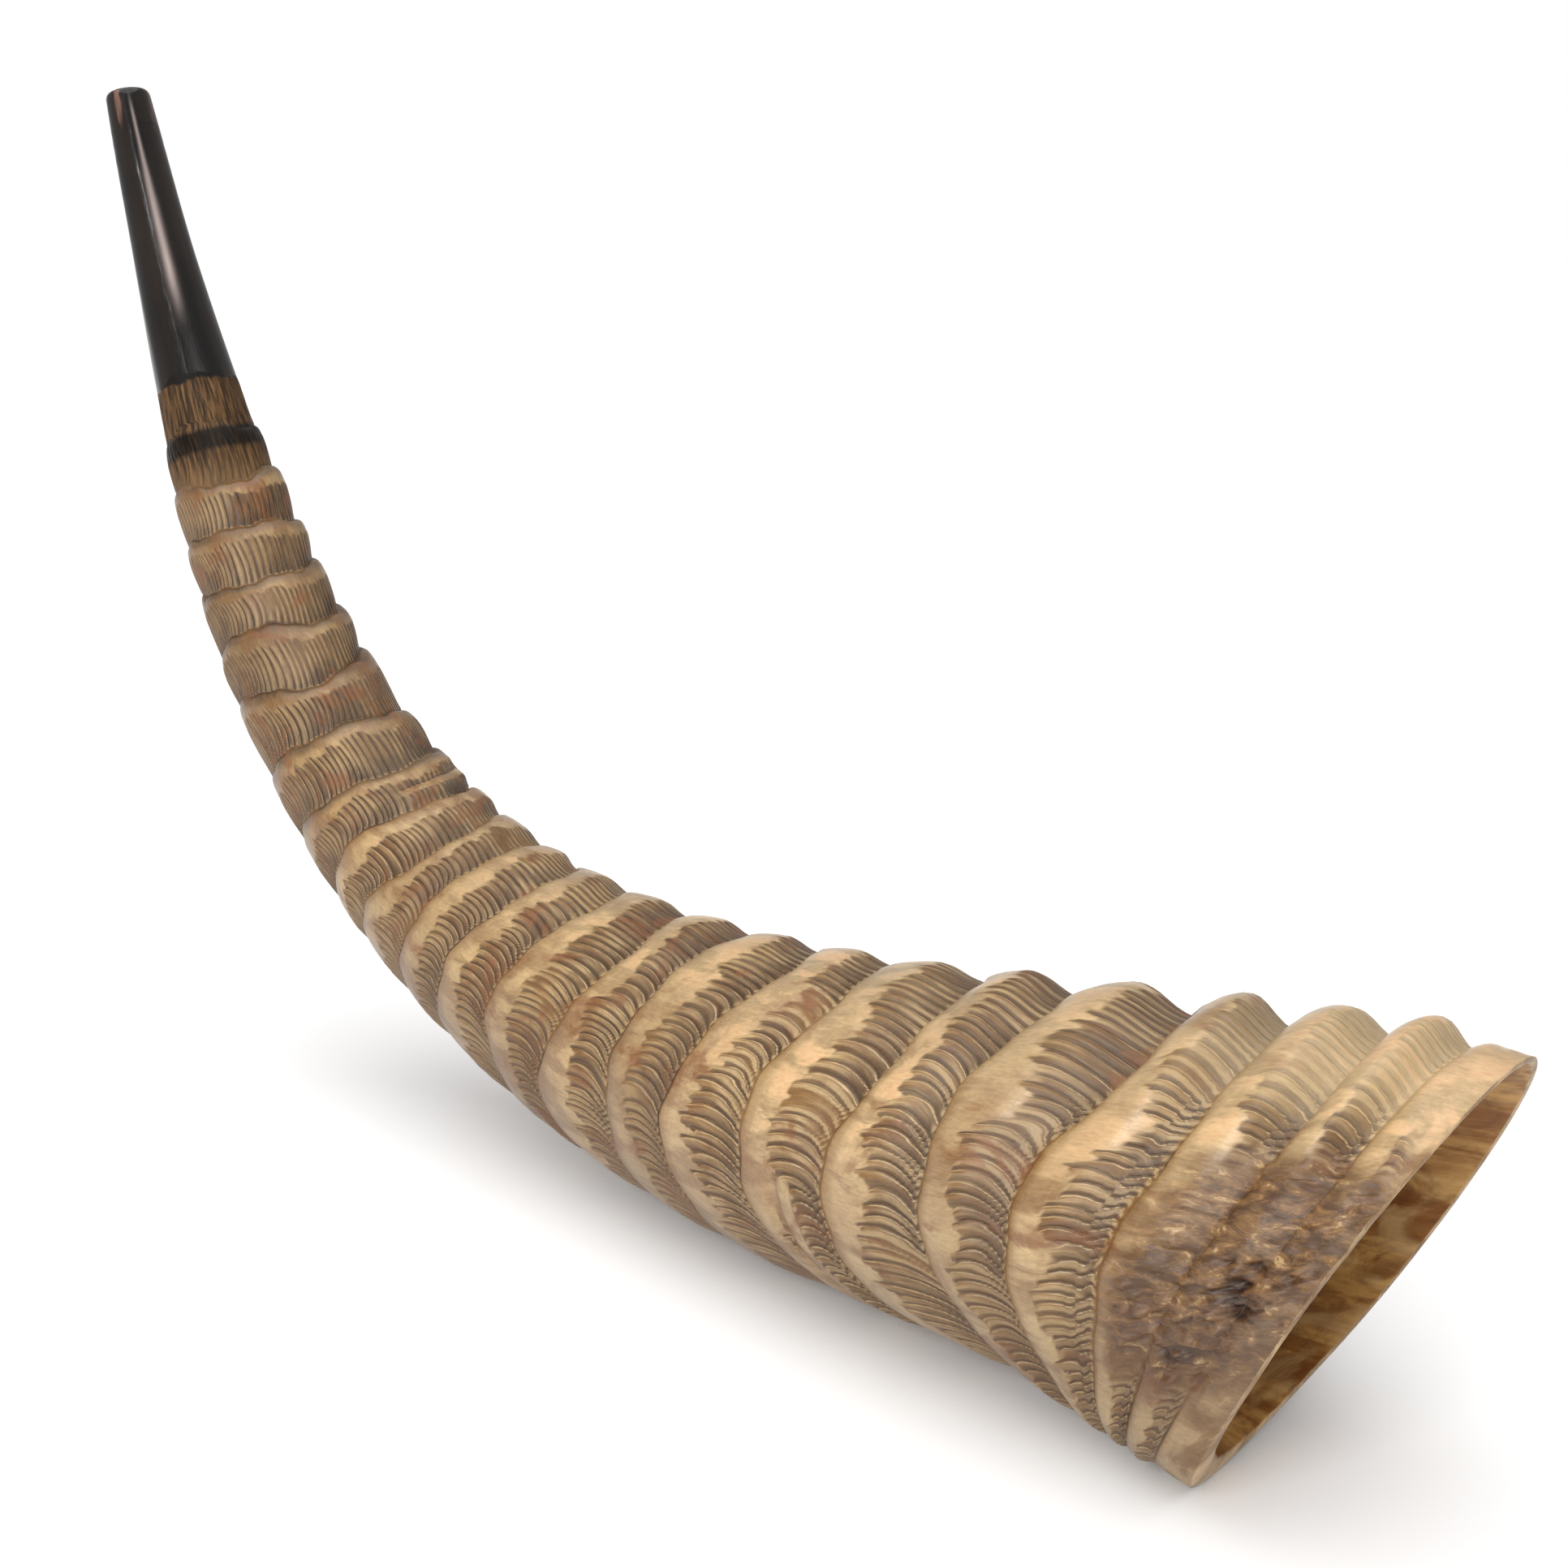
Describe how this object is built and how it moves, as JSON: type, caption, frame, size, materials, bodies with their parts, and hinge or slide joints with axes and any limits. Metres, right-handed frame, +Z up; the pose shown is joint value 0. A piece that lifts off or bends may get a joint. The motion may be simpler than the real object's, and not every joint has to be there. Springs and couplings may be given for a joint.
{
  "type": "shofar",
  "caption": "Shofar made from a ringed, curved antelope horn: polished black blowing end, scraped neck and an open sawn bell.",
  "frame": {"origin": "on the floor under the middle of the bounding box, with the horn lying on its belly as shown", "axes": "+X towards the bell, +Z up, and the horn bends in the XZ plane, so Y is across it"},
  "size_m": [0.4826, 0.088, 0.3034],
  "materials": {
    "lip_horn": "polished black horn, rounded by hand",
    "black_horn": "polished black horn with fine lengthwise scratches",
    "neck_horn": "scraped brown horn with lengthwise fibres and one dark growth band",
    "upper_horn": "raw grey-brown horn, fluted between the rings",
    "middle_horn": "raw golden-brown horn with worn cream crests",
    "bell_horn": "raw pale horn with cream crests, brown flutes and an amber inside"
  },
  "bodies": {
    "root": {"mouthpiece_lip": "lip_horn", "polished_tip": "black_horn", "scraped_neck": "neck_horn", "ring_zone_upper": "upper_horn", "ring_zone_middle": "middle_horn", "bell": "bell_horn"}
  },
  "joints": []
}
